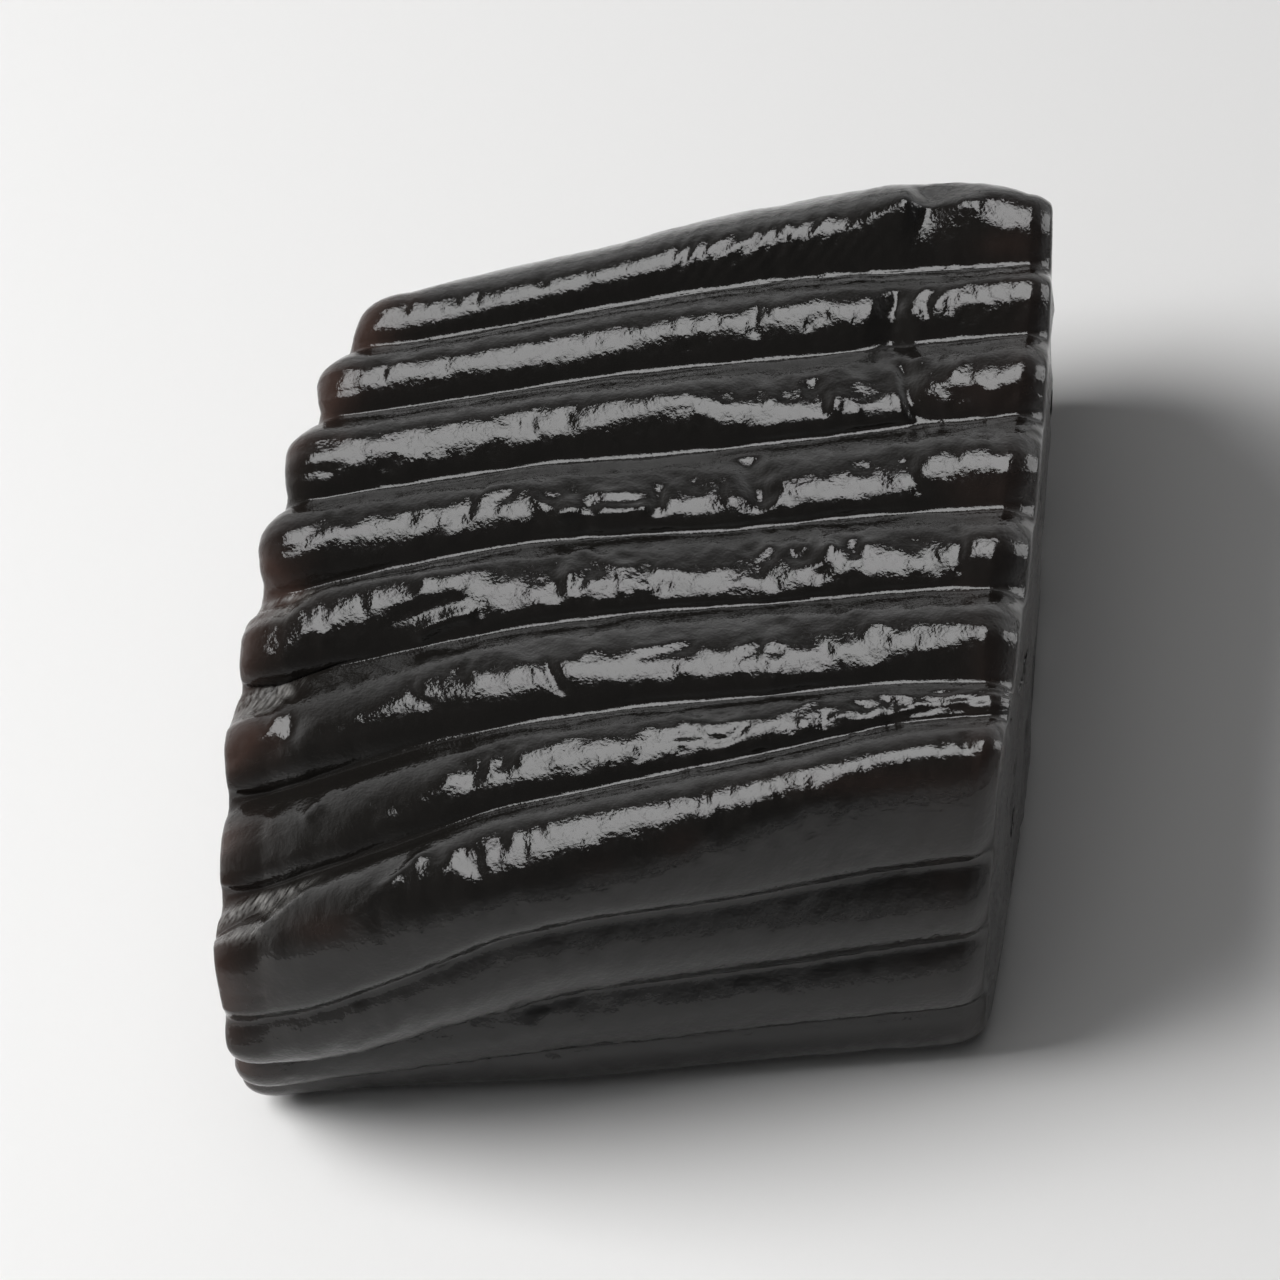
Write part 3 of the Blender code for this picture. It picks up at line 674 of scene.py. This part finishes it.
def relief(w, x):
    """How far the skin stands off the even ribs, in millimetres, over (w, x)."""
    across = w * PITCH
    rough = np.exp(0.45 * field(across, x, 2.2, 3.5, 21))
    d = 0.008 * field(across, x, 1.1, 1.7, 12)                                       # soft lumps
    fine = field(across, x + 0.15 * across, 0.33, 0.31, 13)
    d += 0.0100 * rough * (fine + 0.35 * fine * np.abs(fine))                        # small lumps
    d += 0.0022 * rough * field(across, x + 0.3 * across, 0.50, 0.20, 14)            # fine marks across the ribs
    speck = field(across, x, 0.24, 0.26, 15)
    d += 0.022 * np.clip(speck - 1.8, 0, 1.2)                                        # grains under the skin
    return d * (1 - 0.80 * calmness(w))


bottom = np.clip((1.1 - yz[..., 1]) / 0.6, 0, 1)
d = relief(W, full_x) * (1 - 0.6 * bottom) + marks()
sinking = 2.5 * SLUMP * np.maximum(0.0, (3.0 - yz[..., 0]) / SLUMP_REACH) ** 1.1 / 13.4        # the top's slope where the left ends start
inset = 0.62 * sinking * LEFT_TURN * (END[:, None] < 0) * (1 - BACK_SHARE[:, None]) * np.clip(out[..., 1], 0, 1) * (W < 9)
inset = inset + DROP[:, None] * np.where(T[:, None] < 0, np.interp(PER_W, *zip(*LEFT_DROPS))[None, :], RIGHT_DROP * turn_in(PER_W)[None, :])
yz = yz + out * (d - inset)[..., None]
yz[..., 1] = np.maximum(yz[..., 1], inset * 0.6)
x = x_of(yz[..., 0], yz[..., 1])
grid = np.stack([x, yz[..., 0], yz[..., 1]], axis=-1) + SHIFT

verts = grid.reshape(-1, 3)
n_rows = ROWS
from_left = x - left_edge(yz[..., 0], yz[..., 1], PER_W[None, :])
from_right = cut(RIGHT_CUT, yz[..., 0], yz[..., 1]) - x
uneven = np.exp(0.5 * field(W * PITCH, full_x, 0.9, 0.7, 41))
# painted glow: red-brown put into the base colour where light would shine through the thin left and right ends
glow_and_brown = np.exp(-np.maximum(from_left - 0.1, 0) / 0.70) * uneven**1.5 + 0.22 * np.exp(-np.maximum(from_right, 0) / 1.6) * uneven
# more painted glow, in spots where light shows through the ends, as red-brown base colour
for x_at, y_at, wide, tall, much in ((402, 577, 9, 5, 0.35), (395, 640, 22, 8, 0.2), (395, 682, 14, 7, 0.2), (345, 806, 34, 5, 0.3),
                                     (112, 868, 12, 6, 0.3), (88, 930, 9, 5, 0.4), (74, 897, 6, 7, 0.3), (265, 833, 8, 6, 0.2), (230, 843, 8, 5, 0.12)):
    glow_and_brown += much * np.exp(-0.7 * (((PIX - x_at) / wide) ** 2 + ((PIY - y_at) / tall) ** 2)) * FACING
glow_and_brown = np.clip(glow_and_brown, 0, 1.3)
# scuffed left-end facets: real wear, plus a pale base colour that paints the bright highlight they show
scuff_and_sheen = np.zeros(PIX.shape)
for a, b, low, steep, light in FACETS:
    scuff_and_sheen += light * np.clip(-facet(a, b, steep, low) / 0.08, 0, 1) * np.sqrt(FACING)
scuff_and_sheen = np.clip(scuff_and_sheen * (0.74 + 0.50 * field(PIX + PIY, PIX - PIY, 12.0, 2.6, 43)), 0, 1)
calm = calmness(W)
finish = {"glow_and_brown": [glow_and_brown.ravel()], "scuff_and_sheen": [scuff_and_sheen.ravel()], "calm": [calm.ravel()], "sliced": [np.zeros(calm.size)]}
i = np.arange(n_rows - 1)[:, None] * COUNT
j = np.arange(COUNT)[None, :]
j2 = (j + 1) % COUNT
quads = np.stack([i + j, i + j2, i + COUNT + j2, i + COUNT + j], axis=-1).reshape(-1, 4)

mesh = bpy.data.meshes.new("licorice_skin")
verts = [verts]
faces = [quads]
total = n_rows * COUNT


# The cut faces: (Y, Z, radius, turn, depth) of the star-shaped gaps that open in them, where the folded
# sheet has not closed up.
LEFT_GAPS = ((-2.6, 6.6, 1.5, 12, 2.6), (5.6, 8.3, 1.0, 40, 1.8), (9.2, 4.6, 0.7, 10, 1.5), (-8.8, 4.8, 0.85, 65, 1.6))
RIGHT_GAPS = ((3.4, 7.3, 1.5, 30, 2.6), (-4.4, 9.0, 0.95, 5, 1.8), (-7.9, 4.6, 0.75, 50, 1.5), (10.2, 5.6, 0.85, 20, 1.6))
triangles = []


def add(points, glow_and_brown, scuff_and_sheen, sliced=1.0):
    """New vertices; returns their indices."""
    global total
    n = len(points)
    verts.append(points)
    for kind, level in (("glow_and_brown", glow_and_brown), ("scuff_and_sheen", scuff_and_sheen), ("calm", 0.0), ("sliced", sliced)):
        finish[kind].append(np.broadcast_to(np.asarray(level, float), (n,)))
    total += n
    return np.arange(total - n, total)


def inside(points, loop):
    a, b = loop[None], np.roll(loop, -1, axis=0)[None]
    y, z = points[:, None, 0], points[:, None, 1]
    rise = b[..., 1] - a[..., 1]
    at = a[..., 0] + (z - a[..., 1]) / np.where(rise == 0, 1e-9, rise) * (b[..., 0] - a[..., 0])
    return (((a[..., 1] > z) != (b[..., 1] > z)) & (y < at)).sum(axis=1) % 2 == 1


def gap_outline(gap, scale, seed):
    """A star with four uneven arms."""
    y, z, radius, turn, depth = gap
    a = np.arange(44) / 44 * 2 * np.pi
    arms = 1 + 0.16 * np.sin(a + seed) + 0.10 * np.sin(2 * a + 1.7 * seed)
    pinch = (0.40 + 0.60 * np.abs(np.cos(2 * a)) ** 1.9) * arms * radius
    pinch = pinch * (1 - 0.12 * (1 - scale) * np.abs(np.cos(2 * a)))
    b = a + math.radians(turn) + 0.12 * np.sin(a * 2 + seed)
    return np.stack([y + pinch * scale * np.cos(b), z + pinch * scale * np.sin(b)], axis=-1)


def cut_relief(y, z, seed):
    """What the knife left: long faint drag lines from top to bottom, soft dents, small pits."""
    lines = field(y + 0.10 * z, z, 0.55, 7.0, seed) + 0.6 * field(y + 0.10 * z, z, 0.9, 3.5, seed + 1)
    pits = np.clip(field(y, z, 0.42, 0.42, seed + 2) - 1.7, 0, 1.4)
    soft = 0.10 * field(y, z, 4.6, 4.0, seed + 3) + 0.07 * field(y, z, 2.0, 1.8, seed + 4) + 0.018 * field(y, z, 0.8, 0.7, seed + 5)
    return 0.014 * lines + soft - 0.10 * pits


def cap(first, face, gaps, seed):
    """A cut face: one ring in from its rim, then a net of triangles round the gaps' mouths."""
    sign = -1.0 if first else 1.0
    rim = grid[0 if first else -1] - SHIFT
    k = np.arange(COUNT)
    outer = k + (0 if first else (n_rows - 1) * COUNT)
    my, mz = np.clip(rim[:, 1], -10, 10), 6.2
    ring = np.stack([my + (rim[:, 1] - my) * 0.94, mz + (rim[:, 2] - mz) * 0.94], axis=-1)

    def place(yz, depth=0.0, rough=1.0):
        x = cut(face, yz[:, 0], yz[:, 1]) + sign * (rough * cut_relief(yz[:, 0], yz[:, 1], seed) - depth)
        return np.stack([x, yz[:, 0], yz[:, 1]], axis=-1) + SHIFT

    def worn_and_sheen(yz):
        streaks = field(yz[:, 0] + 0.10 * yz[:, 1], yz[:, 1], 0.7, 6.0, seed + 7)
        return np.clip(0.022 + 0.019 * streaks + 0.015 * field(yz[:, 0], yz[:, 1], 1.6, 1.6, seed + 8), 0.0, 0.1)

    def brown(yz):
        return np.clip(0.14 + 0.12 * field(yz[:, 0], yz[:, 1], 2.2, 1.8, seed + 9), 0.0, 0.5)

    inner = add(place(ring, rough=0.4), brown(ring), worn_and_sheen(ring))
    q = np.stack([outer[k], outer[(k + 1) % COUNT], inner[(k + 1) % COUNT], inner[k]], axis=-1)
    faces.append(q)
    mouths = [gap_outline(gap, 1.0, seed + 1.3 * n) for n, gap in enumerate(gaps)]
    rng = np.random.default_rng(seed)
    ys, zs = np.meshgrid(np.arange(-18, 18, 0.44), np.arange(0.1, 16, 0.44))
    net = np.stack([ys.ravel(), zs.ravel()], axis=-1) + rng.uniform(-0.11, 0.11, (ys.size, 2))
    net = net[inside(net, ring)]
    for loop, room in [(ring, 0.26)] + [(m, 0.16) for m in mouths]:
        gapped = np.hypot(net[:, None, 0] - loop[None, :, 0], net[:, None, 1] - loop[None, :, 1]).min(axis=1)
        net = net[gapped > room]
    for m in mouths:
        net = net[~inside(net, m)]
    places, at, edges, index = [ring], COUNT, [(n, (n + 1) % COUNT) for n in range(COUNT)], [inner]
    for m in mouths:
        edges += [(at + n, at + (n + 1) % len(m)) for n in range(len(m))]
        places.append(m)
        index.append(add(place(m), brown(m), worn_and_sheen(m)))
        at += len(m)
    places.append(net)
    index.append(add(place(net), brown(net), worn_and_sheen(net)))
    flat, index = np.concatenate(places), np.concatenate(index)
    found, _, net_faces, origin, _, _ = delaunay_2d_cdt([Vector(p) for p in flat.tolist()], edges, [], 0, 1e-6)
    ids = []
    for p, source in zip(found, origin):
        ids.append(int(index[source[0]]) if source else int(add(place(np.array([p[:]])), 0.3, 0.3)[0]))
    middles = np.array([np.mean([found[v][:] for v in f], axis=0) for f in net_faces])
    keep = inside(middles, ring)
    for m in mouths:
        keep &= ~inside(middles, m)
    triangles.extend([ids[v] for v in f] for f, kept in zip(net_faces, keep) if kept)
    # the gaps: their walls draw in towards a closed end
    for n, gap in enumerate(gaps):
        start = COUNT + sum(len(m) for m in mouths[:n])
        before = index[start:start + len(mouths[n])]
        for share, scale in ((0.03, 0.95), (0.10, 0.90), (0.3, 0.80), (0.55, 0.66), (0.8, 0.48), (0.95, 0.3)):
            loop = gap_outline(gap, scale, seed + 1.3 * n)
            now = add(place(loop, depth=share * gap[4], rough=max(0.0, 1 - 4 * share)), 0.1, 0.0, 0.4)
            m = np.arange(len(loop))
            faces.append(np.stack([before[m], before[(m + 1) % len(m)], now[(m + 1) % len(m)], now[m]], axis=-1))
            before = now
        middle = int(add(place(np.array([[gap[0], gap[1]]]), depth=gap[4], rough=0.0), 0.1, 0.0, 0.4)[0])
        triangles.extend([int(before[j]), int(before[(j + 1) % len(before)]), middle] for j in range(len(before)))


cap(True, LEFT_CUT, LEFT_GAPS, 71)
cap(False, RIGHT_CUT, RIGHT_GAPS, 91)
verts = np.concatenate(verts) * MM
faces = np.concatenate(faces)

mesh.from_pydata(verts.tolist(), [], faces.tolist() + triangles)
for kind, values in finish.items():
    layer = mesh.attributes.new(kind, "FLOAT", "POINT")
    layer.data.foreach_set("value", np.concatenate(values).astype(np.float32))
bm = bmesh.new()
bm.from_mesh(mesh)
# in a groove the rim of a cut crosses itself, which leaves slivers open beside the crossing
bmesh.ops.holes_fill(bm, edges=[e for e in bm.edges if e.is_boundary], sides=3)
bm.normal_update()
bmesh.ops.recalc_face_normals(bm, faces=bm.faces[:])
for f in bm.faces:
    f.smooth = True
bm.to_mesh(mesh)
bm.free()

piece = bpy.data.objects.new("licorice_skin", mesh)
bpy.context.scene.collection.objects.link(piece)
mesh.set_sharp_from_angle(angle=math.radians(55))
print("triangles", sum(len(p.vertices) - 2 for p in mesh.polygons))


# ---- materials -----------------------------------------------------------------------------
def licorice_material():
    mat = bpy.data.materials.new("licorice")
    mat.use_nodes = True
    nt = mat.node_tree
    nodes, links = nt.nodes, nt.links
    shader = nodes["Principled BSDF"]
    shader.inputs["IOR"].default_value = 1.47
    shader.inputs["Metallic"].default_value = 0.0

    where = nodes.new("ShaderNodeTexCoord")

    def noise(scale, detail, stretch):
        mapping = nodes.new("ShaderNodeMapping")
        mapping.inputs["Scale"].default_value = stretch
        links.new(where.outputs["Object"], mapping.inputs["Vector"])
        node = nodes.new("ShaderNodeTexNoise")
        node.inputs["Scale"].default_value = scale
        node.inputs["Detail"].default_value = detail
        links.new(mapping.outputs["Vector"], node.inputs["Vector"])
        return node.outputs["Fac"]

    def scratches():
        """Fine lines that run towards the near left corner."""
        mapping = nodes.new("ShaderNodeMapping")
        mapping.vector_type = "TEXTURE"
        mapping.inputs["Rotation"].default_value = (0.0, 0.0, 0.89)
        mapping.inputs["Scale"].default_value = (7.5, 1.0, 1.0)
        links.new(where.outputs["Object"], mapping.inputs["Vector"])
        node = nodes.new("ShaderNodeTexNoise")
        node.inputs["Scale"].default_value = 9800.0
        node.inputs["Detail"].default_value = 1.5
        links.new(mapping.outputs["Vector"], node.inputs["Vector"])
        sharp = nodes.new("ShaderNodeMapRange")
        sharp.inputs["From Min"].default_value, sharp.inputs["From Max"].default_value = 0.33, 0.72
        links.new(node.outputs["Fac"], sharp.inputs["Value"])
        return sharp.outputs["Result"]

    def bump(height, strength, distance, under=None):
        node = nodes.new("ShaderNodeBump")
        node.inputs["Strength"].default_value = strength
        node.inputs["Distance"].default_value = distance
        links.new(height, node.inputs["Height"])
        if under:
            links.new(under, node.inputs["Normal"])
        return node.outputs["Normal"]

    def layer(name):
        node = nodes.new("ShaderNodeAttribute")
        node.attribute_name = name
        return node.outputs["Fac"]

    def mathed(kind, a, b):
        node = nodes.new("ShaderNodeMath")
        node.operation = kind
        for socket, value in zip(node.inputs, (a, b)):
            if isinstance(value, float):
                socket.default_value = value
            else:
                links.new(value, socket)
        return node.outputs["Value"]

    def mixed(factor, a, b):
        node = nodes.new("ShaderNodeMix")
        node.data_type = "RGBA"
        links.new(factor, node.inputs["Factor"])
        for socket, value in ((node.inputs["A"], a), (node.inputs["B"], b)):
            if isinstance(value, tuple):
                socket.default_value = (*value, 1.0)
            else:
                links.new(value, socket)
        return node.outputs["Result"]

    # colour: black; red-brown where the ends are thin, a painted glow of light shining through them (on the cut faces
    # the licorice's own brown); pale grey where the skin is scuffed, partly a painted highlight on the facets
    black = mixed(noise(1500.0, 3.0, (1.0, 1.0, 1.0)), (0.0078, 0.0074, 0.0064), (0.0098, 0.0086, 0.0080))
    # red-brown: a painted glow of light through the thin ends on the skin; on the cut faces the licorice's own brown
    brown = mixed(layer("glow_and_brown"), black, (0.035, 0.0215, 0.0175))
    # pale grey where scuffed: partly wear, partly a painted highlight on the left-end facets
    worn_and_sheen = mixed(mathed("MULTIPLY", layer("scuff_and_sheen"), scratches()), brown, (0.205, 0.20, 0.192))
    links.new(worn_and_sheen, shader.inputs["Base Color"])

    # pores and ticks of 0.1 to 0.25 mm, calmer beside the grooves
    height = noise(3800.0, 1.0, (1.0, 0.85, 0.85))
    lively = mathed("SUBTRACT", 1.0, mathed("MULTIPLY", layer("calm"), 0.85))
    coarse = bump(mathed("MULTIPLY", height, lively), 0.62, 0.00003)
    fine = bump(noise(9600.0, 1.0, (1.0, 1.0, 1.0)), 0.75, 0.000012, coarse)
    links.new(fine, shader.inputs["Normal"])

    gloss = nodes.new("ShaderNodeMapRange")
    gloss.inputs["From Min"].default_value, gloss.inputs["From Max"].default_value = 0.45, 0.66
    gloss.inputs["To Min"].default_value, gloss.inputs["To Max"].default_value = 0.065, 0.19
    links.new(noise(4300.0, 2.0, (1.0, 0.8, 0.8)), gloss.inputs["Value"])
    dull = mathed("ADD", mathed("MULTIPLY", layer("scuff_and_sheen"), 0.26), mathed("MULTIPLY", layer("sliced"), 0.15))
    links.new(mathed("ADD", gloss.outputs["Result"], dull), shader.inputs["Roughness"])
    return mat


piece.data.materials.append(licorice_material())
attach(piece, "root")
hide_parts("licorice_piece")


# ---- floor and light -----------------------------------------------------------------------
def plain(name, colour, roughness):
    mat = bpy.data.materials.new(name)
    mat.use_nodes = True
    shader = mat.node_tree.nodes["Principled BSDF"]
    shader.inputs["Base Color"].default_value = (*colour, 1.0)
    shader.inputs["Roughness"].default_value = roughness
    return mat


bpy.ops.mesh.primitive_circle_add(vertices=96, radius=3.0, fill_type="NGON", location=(0, 0, -0.00002))
floor = bpy.context.object
floor.name = "floor"
floor.data.materials.append(plain("floor", (0.86, 0.855, 0.85), 0.9))
floor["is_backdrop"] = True


def lamp(name, to, size, radiance, distance=1.0, diffuse=True, glossy=True):
    """A rectangular light in the direction given; its size is in degrees, across and up."""
    to = Vector(to).normalized()
    wide, tall = (2 * distance * math.tan(math.radians(s / 2)) for s in size)
    light = bpy.data.lights.new(name, "AREA")
    light.shape = "RECTANGLE"
    light.size, light.size_y = wide, tall
    light.energy = radiance * math.pi * wide * tall
    o = bpy.data.objects.new(name, light)
    o.location = to * distance
    o.rotation_mode = "QUATERNION"
    o.rotation_quaternion = to.to_track_quat("Z", "Y")
    bpy.context.scene.collection.objects.link(o)
    o.visible_camera = False
    o.visible_diffuse = diffuse
    o.visible_glossy = glossy
    return o


def towards(azimuth, elevation):
    """A direction: azimuth 0 is the far side, 90 the right."""
    a, e = math.radians(azimuth), math.radians(elevation)
    return math.sin(a) * math.cos(e), math.cos(a) * math.cos(e), math.sin(e)


p = math.radians(15.5)
lamp("key", (0.09, math.sin(p), math.cos(p)), (34.0, 39.5), 4.9, diffuse=False)
lamp("key_heart", (0.09, math.sin(p), math.cos(p)), (23.0, 27.0), 1.9, distance=0.98, diffuse=False)
lamp("right_strip", towards(76, 16), (26.0, 22.0), 2.7, diffuse=False)
lamp("floor_light", towards(-85, 44), (34.0, 34.0), 10.6, distance=0.34, glossy=False)
lamp("top_fill", towards(-120, 70), (60.0, 60.0), 0.6, distance=0.5, glossy=False)

world = bpy.data.worlds.new("studio")
world.use_nodes = True
nt = world.node_tree
background = nt.nodes["Background"]
where = nt.nodes.new("ShaderNodeTexCoord")
split = nt.nodes.new("ShaderNodeSeparateXYZ")
nt.links.new(where.outputs["Generated"], split.inputs["Vector"])


def ramp(source, stops):
    node = nt.nodes.new("ShaderNodeValToRGB")
    e = node.color_ramp.elements
    while len(e) < len(stops):
        e.new(0.5)
    for item, (at, value) in zip(e, stops):
        item.position, item.color = at, (value, value, value, 1.0)
    nt.links.new(source, node.inputs["Fac"])
    return node.outputs["Color"]


low_far = ramp(split.outputs["Z"], ((0.0, 0.95), (0.17, 0.75), (0.34, 0.62), (0.5, 0.38), (0.7, 0.12), (0.85, 0.0)))
side = nt.nodes.new("ShaderNodeMapRange")
side.interpolation_type = "SMOOTHSTEP"
side.inputs["From Min"].default_value, side.inputs["From Max"].default_value = -0.15, 0.3
nt.links.new(split.outputs["Y"], side.inputs["Value"])
glow = nt.nodes.new("ShaderNodeMix")
glow.data_type = "RGBA"
low_near = ramp(split.outputs["Z"], ((0.0, 0.54), (0.12, 0.36), (0.3, 0.15), (0.55, 0.03), (0.75, 0.0)))
nt.links.new(low_near, glow.inputs["A"])
nt.links.new(side.outputs["Result"], glow.inputs["Factor"])
nt.links.new(low_far, glow.inputs["B"])
lift = nt.nodes.new("ShaderNodeMix")
lift.data_type = "RGBA"
lift.blend_type = "ADD"
lift.inputs["Factor"].default_value = 1.0
lift.inputs["B"].default_value = (0.07, 0.07, 0.072, 1.0)
nt.links.new(glow.outputs["Result"], lift.inputs["A"])
nt.links.new(lift.outputs["Result"], background.inputs["Color"])
bpy.context.scene.world = world
world.cycles_visibility.diffuse = False       # it is there to be mirrored; the lamps light the floor
bpy.context.scene.view_settings.view_transform = "Standard"

low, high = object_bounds()
